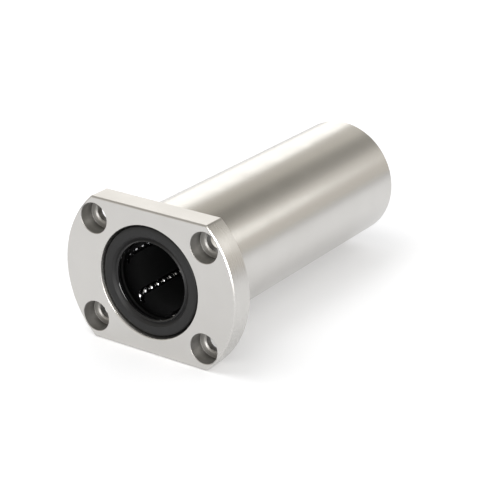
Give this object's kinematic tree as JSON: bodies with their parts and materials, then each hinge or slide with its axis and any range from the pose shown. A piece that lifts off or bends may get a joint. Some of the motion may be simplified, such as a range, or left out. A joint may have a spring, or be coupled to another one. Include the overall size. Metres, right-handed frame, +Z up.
{
  "type": "flanged linear bearing",
  "caption": "Long linear ball bearing: steel sleeve with a two-flat flange and counterbored holes, rubber end seals, and caged ball circuits around the shaft bore.",
  "frame": {"origin": "on the shaft axis, in the flange's seat face, at the centre of the bolt pattern", "axes": "+Y along the shaft axis, from the flange towards the sleeve's free end; +X along the flange's long axis; +Z up, square to the flange's flats"},
  "size_m": [0.062, 0.112, 0.046],
  "materials": {
    "ground_steel": "ground and polished bearing steel, fine turning marks on the flange face",
    "seal_rubber": "satin black nitrile rubber",
    "pressed_steel": "plain pressed steel",
    "spring_steel": "oiled spring wire",
    "cage_resin": "glossy black moulded resin",
    "ball_steel": "polished bearing balls"
  },
  "bodies": {
    "sleeve_assembly": {"flanged_sleeve": "ground_steel", "front_seal": "seal_rubber", "front_seal_core": "pressed_steel", "front_snap_ring": "spring_steel", "front_retainer": "cage_resin", "rear_seal": "seal_rubber", "rear_seal_core": "pressed_steel", "rear_snap_ring": "spring_steel", "rear_retainer": "cage_resin"},
    "front_loaded_balls_1": {"front_loaded_balls_1": "ball_steel"},
    "front_return_balls_1": {"front_return_balls_1": "ball_steel"},
    "front_outer_turn_balls_1": {"front_outer_turn_balls_1": "ball_steel"},
    "front_inner_turn_balls_1": {"front_inner_turn_balls_1": "ball_steel"},
    "front_loaded_balls_2": {"front_loaded_balls_2": "ball_steel"},
    "front_return_balls_2": {"front_return_balls_2": "ball_steel"},
    "front_outer_turn_balls_2": {"front_outer_turn_balls_2": "ball_steel"},
    "front_inner_turn_balls_2": {"front_inner_turn_balls_2": "ball_steel"},
    "front_loaded_balls_3": {"front_loaded_balls_3": "ball_steel"},
    "front_return_balls_3": {"front_return_balls_3": "ball_steel"},
    "front_outer_turn_balls_3": {"front_outer_turn_balls_3": "ball_steel"},
    "front_inner_turn_balls_3": {"front_inner_turn_balls_3": "ball_steel"},
    "front_loaded_balls_4": {"front_loaded_balls_4": "ball_steel"},
    "front_return_balls_4": {"front_return_balls_4": "ball_steel"},
    "front_outer_turn_balls_4": {"front_outer_turn_balls_4": "ball_steel"},
    "front_inner_turn_balls_4": {"front_inner_turn_balls_4": "ball_steel"},
    "front_loaded_balls_5": {"front_loaded_balls_5": "ball_steel"},
    "front_return_balls_5": {"front_return_balls_5": "ball_steel"},
    "front_outer_turn_balls_5": {"front_outer_turn_balls_5": "ball_steel"},
    "front_inner_turn_balls_5": {"front_inner_turn_balls_5": "ball_steel"},
    "front_loaded_balls_6": {"front_loaded_balls_6": "ball_steel"},
    "front_return_balls_6": {"front_return_balls_6": "ball_steel"},
    "front_outer_turn_balls_6": {"front_outer_turn_balls_6": "ball_steel"},
    "front_inner_turn_balls_6": {"front_inner_turn_balls_6": "ball_steel"},
    "rear_loaded_balls_1": {"rear_loaded_balls_1": "ball_steel"},
    "rear_return_balls_1": {"rear_return_balls_1": "ball_steel"},
    "rear_outer_turn_balls_1": {"rear_outer_turn_balls_1": "ball_steel"},
    "rear_inner_turn_balls_1": {"rear_inner_turn_balls_1": "ball_steel"},
    "rear_loaded_balls_2": {"rear_loaded_balls_2": "ball_steel"},
    "rear_return_balls_2": {"rear_return_balls_2": "ball_steel"},
    "rear_outer_turn_balls_2": {"rear_outer_turn_balls_2": "ball_steel"},
    "rear_inner_turn_balls_2": {"rear_inner_turn_balls_2": "ball_steel"},
    "rear_loaded_balls_3": {"rear_loaded_balls_3": "ball_steel"},
    "rear_return_balls_3": {"rear_return_balls_3": "ball_steel"},
    "rear_outer_turn_balls_3": {"rear_outer_turn_balls_3": "ball_steel"},
    "rear_inner_turn_balls_3": {"rear_inner_turn_balls_3": "ball_steel"},
    "rear_loaded_balls_4": {"rear_loaded_balls_4": "ball_steel"},
    "rear_return_balls_4": {"rear_return_balls_4": "ball_steel"},
    "rear_outer_turn_balls_4": {"rear_outer_turn_balls_4": "ball_steel"},
    "rear_inner_turn_balls_4": {"rear_inner_turn_balls_4": "ball_steel"},
    "rear_loaded_balls_5": {"rear_loaded_balls_5": "ball_steel"},
    "rear_return_balls_5": {"rear_return_balls_5": "ball_steel"},
    "rear_outer_turn_balls_5": {"rear_outer_turn_balls_5": "ball_steel"},
    "rear_inner_turn_balls_5": {"rear_inner_turn_balls_5": "ball_steel"},
    "rear_loaded_balls_6": {"rear_loaded_balls_6": "ball_steel"},
    "rear_return_balls_6": {"rear_return_balls_6": "ball_steel"},
    "rear_outer_turn_balls_6": {"rear_outer_turn_balls_6": "ball_steel"},
    "rear_inner_turn_balls_6": {"rear_inner_turn_balls_6": "ball_steel"}
  },
  "joints": [
    {"name": "front_loaded_balls_1_slide", "type": "slide", "parent": "sleeve_assembly", "child": "front_loaded_balls_1", "axis": [0, 1, 0], "range_m": [-0.00161, 0.00161]},
    {"name": "front_return_balls_1_slide", "type": "slide", "parent": "sleeve_assembly", "child": "front_return_balls_1", "axis": [0, 1, 0], "range_m": [-0.00162, 0.00162]},
    {"name": "front_outer_turn_balls_1_turn", "type": "hinge", "parent": "sleeve_assembly", "child": "front_outer_turn_balls_1", "pos_m": [0.00811, 0.00238, 0.01196], "axis": [0.7314, 0, 0.682], "range_deg": [-30.05, 30.05]},
    {"name": "front_inner_turn_balls_1_turn", "type": "hinge", "parent": "sleeve_assembly", "child": "front_inner_turn_balls_1", "pos_m": [0.00811, 0.04114, 0.01196], "axis": [0.7314, 0, 0.682], "range_deg": [-30.05, 30.05]},
    {"name": "front_loaded_balls_2_slide", "type": "slide", "parent": "sleeve_assembly", "child": "front_loaded_balls_2", "axis": [0, 1, 0], "range_m": [-0.00162, 0.00162]},
    {"name": "front_return_balls_2_slide", "type": "slide", "parent": "sleeve_assembly", "child": "front_return_balls_2", "axis": [0, 1, 0], "range_m": [-0.00162, 0.00162]},
    {"name": "front_outer_turn_balls_2_turn", "type": "hinge", "parent": "sleeve_assembly", "child": "front_outer_turn_balls_2", "pos_m": [-0.00631, 0.00238, 0.013], "axis": [-0.225, 0, 0.9744], "range_deg": [-30.05, 30.05]},
    {"name": "front_inner_turn_balls_2_turn", "type": "hinge", "parent": "sleeve_assembly", "child": "front_inner_turn_balls_2", "pos_m": [-0.00631, 0.04114, 0.013], "axis": [-0.225, 0, 0.9744], "range_deg": [-30.05, 30.05]},
    {"name": "front_loaded_balls_3_slide", "type": "slide", "parent": "sleeve_assembly", "child": "front_loaded_balls_3", "axis": [0, 1, 0], "range_m": [-0.00162, 0.00162]},
    {"name": "front_return_balls_3_slide", "type": "slide", "parent": "sleeve_assembly", "child": "front_return_balls_3", "axis": [0, 1, 0], "range_m": [-0.00162, 0.00162]},
    {"name": "front_outer_turn_balls_3_turn", "type": "hinge", "parent": "sleeve_assembly", "child": "front_outer_turn_balls_3", "pos_m": [-0.01441, 0.00238, 0.00104], "axis": [-0.9563, 0, 0.2924], "range_deg": [-30.05, 30.05]},
    {"name": "front_inner_turn_balls_3_turn", "type": "hinge", "parent": "sleeve_assembly", "child": "front_inner_turn_balls_3", "pos_m": [-0.01441, 0.04114, 0.00104], "axis": [-0.9563, 0, 0.2924], "range_deg": [-30.05, 30.05]},
    {"name": "front_loaded_balls_4_slide", "type": "slide", "parent": "sleeve_assembly", "child": "front_loaded_balls_4", "axis": [0, 1, 0], "range_m": [-0.00162, 0.00162]},
    {"name": "front_return_balls_4_slide", "type": "slide", "parent": "sleeve_assembly", "child": "front_return_balls_4", "axis": [0, 1, 0], "range_m": [-0.00162, 0.00162]},
    {"name": "front_outer_turn_balls_4_turn", "type": "hinge", "parent": "sleeve_assembly", "child": "front_outer_turn_balls_4", "pos_m": [-0.00811, 0.00238, -0.01196], "axis": [-0.7314, 0, -0.682], "range_deg": [-30.05, 30.05]},
    {"name": "front_inner_turn_balls_4_turn", "type": "hinge", "parent": "sleeve_assembly", "child": "front_inner_turn_balls_4", "pos_m": [-0.00811, 0.04114, -0.01196], "axis": [-0.7314, 0, -0.682], "range_deg": [-30.05, 30.05]},
    {"name": "front_loaded_balls_5_slide", "type": "slide", "parent": "sleeve_assembly", "child": "front_loaded_balls_5", "axis": [0, 1, 0], "range_m": [-0.00162, 0.00162]},
    {"name": "front_return_balls_5_slide", "type": "slide", "parent": "sleeve_assembly", "child": "front_return_balls_5", "axis": [0, 1, 0], "range_m": [-0.00162, 0.00162]},
    {"name": "front_outer_turn_balls_5_turn", "type": "hinge", "parent": "sleeve_assembly", "child": "front_outer_turn_balls_5", "pos_m": [0.00631, 0.00238, -0.013], "axis": [0.225, 0, -0.9744], "range_deg": [-30.05, 30.05]},
    {"name": "front_inner_turn_balls_5_turn", "type": "hinge", "parent": "sleeve_assembly", "child": "front_inner_turn_balls_5", "pos_m": [0.00631, 0.04114, -0.013], "axis": [0.225, 0, -0.9744], "range_deg": [-30.05, 30.05]},
    {"name": "front_loaded_balls_6_slide", "type": "slide", "parent": "sleeve_assembly", "child": "front_loaded_balls_6", "axis": [0, 1, 0], "range_m": [-0.00162, 0.00162]},
    {"name": "front_return_balls_6_slide", "type": "slide", "parent": "sleeve_assembly", "child": "front_return_balls_6", "axis": [0, 1, 0], "range_m": [-0.00162, 0.00162]},
    {"name": "front_outer_turn_balls_6_turn", "type": "hinge", "parent": "sleeve_assembly", "child": "front_outer_turn_balls_6", "pos_m": [0.01441, 0.00238, -0.00104], "axis": [0.9563, 0, -0.2924], "range_deg": [-30.05, 30.05]},
    {"name": "front_inner_turn_balls_6_turn", "type": "hinge", "parent": "sleeve_assembly", "child": "front_inner_turn_balls_6", "pos_m": [0.01441, 0.04114, -0.00104], "axis": [0.9563, 0, -0.2924], "range_deg": [-30.05, 30.05]},
    {"name": "rear_loaded_balls_1_slide", "type": "slide", "parent": "sleeve_assembly", "child": "rear_loaded_balls_1", "axis": [0, 1, 0], "range_m": [-0.00162, 0.00162]},
    {"name": "rear_return_balls_1_slide", "type": "slide", "parent": "sleeve_assembly", "child": "rear_return_balls_1", "axis": [0, 1, 0], "range_m": [-0.00162, 0.00162]},
    {"name": "rear_outer_turn_balls_1_turn", "type": "hinge", "parent": "sleeve_assembly", "child": "rear_outer_turn_balls_1", "pos_m": [0.0125, 0.09362, 0.00725], "axis": [0.7314, 0, 0.682], "range_deg": [-30.05, 30.05]},
    {"name": "rear_inner_turn_balls_1_turn", "type": "hinge", "parent": "sleeve_assembly", "child": "rear_inner_turn_balls_1", "pos_m": [0.0125, 0.05486, 0.00725], "axis": [0.7314, 0, 0.682], "range_deg": [-30.05, 30.05]},
    {"name": "rear_loaded_balls_2_slide", "type": "slide", "parent": "sleeve_assembly", "child": "rear_loaded_balls_2", "axis": [0, 1, 0], "range_m": [-0.00162, 0.00162]},
    {"name": "rear_return_balls_2_slide", "type": "slide", "parent": "sleeve_assembly", "child": "rear_return_balls_2", "axis": [0, 1, 0], "range_m": [-0.00162, 0.00162]},
    {"name": "rear_outer_turn_balls_2_turn", "type": "hinge", "parent": "sleeve_assembly", "child": "rear_outer_turn_balls_2", "pos_m": [0.01253, 0.09362, -0.0072], "axis": [0.9563, 0, -0.2924], "range_deg": [-30.05, 30.05]},
    {"name": "rear_inner_turn_balls_2_turn", "type": "hinge", "parent": "sleeve_assembly", "child": "rear_inner_turn_balls_2", "pos_m": [0.01253, 0.05486, -0.0072], "axis": [0.9563, 0, -0.2924], "range_deg": [-30.05, 30.05]},
    {"name": "rear_loaded_balls_3_slide", "type": "slide", "parent": "sleeve_assembly", "child": "rear_loaded_balls_3", "axis": [0, 1, 0], "range_m": [-0.00162, 0.00162]},
    {"name": "rear_return_balls_3_slide", "type": "slide", "parent": "sleeve_assembly", "child": "rear_return_balls_3", "axis": [0, 1, 0], "range_m": [-0.00162, 0.00162]},
    {"name": "rear_outer_turn_balls_3_turn", "type": "hinge", "parent": "sleeve_assembly", "child": "rear_outer_turn_balls_3", "pos_m": [0.00003, 0.09362, -0.01445], "axis": [0.225, 0, -0.9744], "range_deg": [-30.05, 30.05]},
    {"name": "rear_inner_turn_balls_3_turn", "type": "hinge", "parent": "sleeve_assembly", "child": "rear_inner_turn_balls_3", "pos_m": [0.00003, 0.05486, -0.01445], "axis": [0.225, 0, -0.9744], "range_deg": [-30.05, 30.05]},
    {"name": "rear_loaded_balls_4_slide", "type": "slide", "parent": "sleeve_assembly", "child": "rear_loaded_balls_4", "axis": [0, 1, 0], "range_m": [-0.00162, 0.00162]},
    {"name": "rear_return_balls_4_slide", "type": "slide", "parent": "sleeve_assembly", "child": "rear_return_balls_4", "axis": [0, 1, 0], "range_m": [-0.00162, 0.00162]},
    {"name": "rear_outer_turn_balls_4_turn", "type": "hinge", "parent": "sleeve_assembly", "child": "rear_outer_turn_balls_4", "pos_m": [-0.0125, 0.09362, -0.00725], "axis": [-0.7314, 0, -0.682], "range_deg": [-30.05, 30.05]},
    {"name": "rear_inner_turn_balls_4_turn", "type": "hinge", "parent": "sleeve_assembly", "child": "rear_inner_turn_balls_4", "pos_m": [-0.0125, 0.05486, -0.00725], "axis": [-0.7314, 0, -0.682], "range_deg": [-30.05, 30.05]},
    {"name": "rear_loaded_balls_5_slide", "type": "slide", "parent": "sleeve_assembly", "child": "rear_loaded_balls_5", "axis": [0, 1, 0], "range_m": [-0.00162, 0.00162]},
    {"name": "rear_return_balls_5_slide", "type": "slide", "parent": "sleeve_assembly", "child": "rear_return_balls_5", "axis": [0, 1, 0], "range_m": [-0.00162, 0.00162]},
    {"name": "rear_outer_turn_balls_5_turn", "type": "hinge", "parent": "sleeve_assembly", "child": "rear_outer_turn_balls_5", "pos_m": [-0.01253, 0.09362, 0.0072], "axis": [-0.9563, 0, 0.2924], "range_deg": [-30.05, 30.05]},
    {"name": "rear_inner_turn_balls_5_turn", "type": "hinge", "parent": "sleeve_assembly", "child": "rear_inner_turn_balls_5", "pos_m": [-0.01253, 0.05486, 0.0072], "axis": [-0.9563, 0, 0.2924], "range_deg": [-30.05, 30.05]},
    {"name": "rear_loaded_balls_6_slide", "type": "slide", "parent": "sleeve_assembly", "child": "rear_loaded_balls_6", "axis": [0, 1, 0], "range_m": [-0.00162, 0.00162]},
    {"name": "rear_return_balls_6_slide", "type": "slide", "parent": "sleeve_assembly", "child": "rear_return_balls_6", "axis": [0, 1, 0], "range_m": [-0.00162, 0.00162]},
    {"name": "rear_outer_turn_balls_6_turn", "type": "hinge", "parent": "sleeve_assembly", "child": "rear_outer_turn_balls_6", "pos_m": [-0.00003, 0.09362, 0.01445], "axis": [-0.225, 0, 0.9744], "range_deg": [-30.05, 30.05]},
    {"name": "rear_inner_turn_balls_6_turn", "type": "hinge", "parent": "sleeve_assembly", "child": "rear_inner_turn_balls_6", "pos_m": [-0.00003, 0.05486, 0.01445], "axis": [-0.225, 0, 0.9744], "range_deg": [-30.05, 30.05]}
  ],
  "couplings": [
    {"joint": "front_return_balls_1_slide", "follows": "front_loaded_balls_1_slide", "ratio": -1},
    {"joint": "front_outer_turn_balls_1_turn", "follows": "front_loaded_balls_1_slide", "rad_per_m": 324.21},
    {"joint": "front_inner_turn_balls_1_turn", "follows": "front_loaded_balls_1_slide", "rad_per_m": 324.21},
    {"joint": "front_loaded_balls_2_slide", "follows": "front_loaded_balls_1_slide", "ratio": 1},
    {"joint": "front_return_balls_2_slide", "follows": "front_loaded_balls_1_slide", "ratio": -1},
    {"joint": "front_outer_turn_balls_2_turn", "follows": "front_loaded_balls_1_slide", "rad_per_m": 324.21},
    {"joint": "front_inner_turn_balls_2_turn", "follows": "front_loaded_balls_1_slide", "rad_per_m": 324.21},
    {"joint": "front_loaded_balls_3_slide", "follows": "front_loaded_balls_1_slide", "ratio": 1},
    {"joint": "front_return_balls_3_slide", "follows": "front_loaded_balls_1_slide", "ratio": -1},
    {"joint": "front_outer_turn_balls_3_turn", "follows": "front_loaded_balls_1_slide", "rad_per_m": 324.21},
    {"joint": "front_inner_turn_balls_3_turn", "follows": "front_loaded_balls_1_slide", "rad_per_m": 324.21},
    {"joint": "front_loaded_balls_4_slide", "follows": "front_loaded_balls_1_slide", "ratio": 1},
    {"joint": "front_return_balls_4_slide", "follows": "front_loaded_balls_1_slide", "ratio": -1},
    {"joint": "front_outer_turn_balls_4_turn", "follows": "front_loaded_balls_1_slide", "rad_per_m": 324.21},
    {"joint": "front_inner_turn_balls_4_turn", "follows": "front_loaded_balls_1_slide", "rad_per_m": 324.21},
    {"joint": "front_loaded_balls_5_slide", "follows": "front_loaded_balls_1_slide", "ratio": 1},
    {"joint": "front_return_balls_5_slide", "follows": "front_loaded_balls_1_slide", "ratio": -1},
    {"joint": "front_outer_turn_balls_5_turn", "follows": "front_loaded_balls_1_slide", "rad_per_m": 324.21},
    {"joint": "front_inner_turn_balls_5_turn", "follows": "front_loaded_balls_1_slide", "rad_per_m": 324.21},
    {"joint": "front_loaded_balls_6_slide", "follows": "front_loaded_balls_1_slide", "ratio": 1},
    {"joint": "front_return_balls_6_slide", "follows": "front_loaded_balls_1_slide", "ratio": -1},
    {"joint": "front_outer_turn_balls_6_turn", "follows": "front_loaded_balls_1_slide", "rad_per_m": 324.21},
    {"joint": "front_inner_turn_balls_6_turn", "follows": "front_loaded_balls_1_slide", "rad_per_m": 324.21},
    {"joint": "rear_loaded_balls_1_slide", "follows": "front_loaded_balls_1_slide", "ratio": 1},
    {"joint": "rear_return_balls_1_slide", "follows": "front_loaded_balls_1_slide", "ratio": -1},
    {"joint": "rear_outer_turn_balls_1_turn", "follows": "front_loaded_balls_1_slide", "rad_per_m": -324.21},
    {"joint": "rear_inner_turn_balls_1_turn", "follows": "front_loaded_balls_1_slide", "rad_per_m": -324.21},
    {"joint": "rear_loaded_balls_2_slide", "follows": "front_loaded_balls_1_slide", "ratio": 1},
    {"joint": "rear_return_balls_2_slide", "follows": "front_loaded_balls_1_slide", "ratio": -1},
    {"joint": "rear_outer_turn_balls_2_turn", "follows": "front_loaded_balls_1_slide", "rad_per_m": -324.21},
    {"joint": "rear_inner_turn_balls_2_turn", "follows": "front_loaded_balls_1_slide", "rad_per_m": -324.21},
    {"joint": "rear_loaded_balls_3_slide", "follows": "front_loaded_balls_1_slide", "ratio": 1},
    {"joint": "rear_return_balls_3_slide", "follows": "front_loaded_balls_1_slide", "ratio": -1},
    {"joint": "rear_outer_turn_balls_3_turn", "follows": "front_loaded_balls_1_slide", "rad_per_m": -324.21},
    {"joint": "rear_inner_turn_balls_3_turn", "follows": "front_loaded_balls_1_slide", "rad_per_m": -324.21},
    {"joint": "rear_loaded_balls_4_slide", "follows": "front_loaded_balls_1_slide", "ratio": 1},
    {"joint": "rear_return_balls_4_slide", "follows": "front_loaded_balls_1_slide", "ratio": -1},
    {"joint": "rear_outer_turn_balls_4_turn", "follows": "front_loaded_balls_1_slide", "rad_per_m": -324.21},
    {"joint": "rear_inner_turn_balls_4_turn", "follows": "front_loaded_balls_1_slide", "rad_per_m": -324.21},
    {"joint": "rear_loaded_balls_5_slide", "follows": "front_loaded_balls_1_slide", "ratio": 1},
    {"joint": "rear_return_balls_5_slide", "follows": "front_loaded_balls_1_slide", "ratio": -1},
    {"joint": "rear_outer_turn_balls_5_turn", "follows": "front_loaded_balls_1_slide", "rad_per_m": -324.21},
    {"joint": "rear_inner_turn_balls_5_turn", "follows": "front_loaded_balls_1_slide", "rad_per_m": -324.21},
    {"joint": "rear_loaded_balls_6_slide", "follows": "front_loaded_balls_1_slide", "ratio": 1},
    {"joint": "rear_return_balls_6_slide", "follows": "front_loaded_balls_1_slide", "ratio": -1},
    {"joint": "rear_outer_turn_balls_6_turn", "follows": "front_loaded_balls_1_slide", "rad_per_m": -324.21},
    {"joint": "rear_inner_turn_balls_6_turn", "follows": "front_loaded_balls_1_slide", "rad_per_m": -324.21}
  ]
}
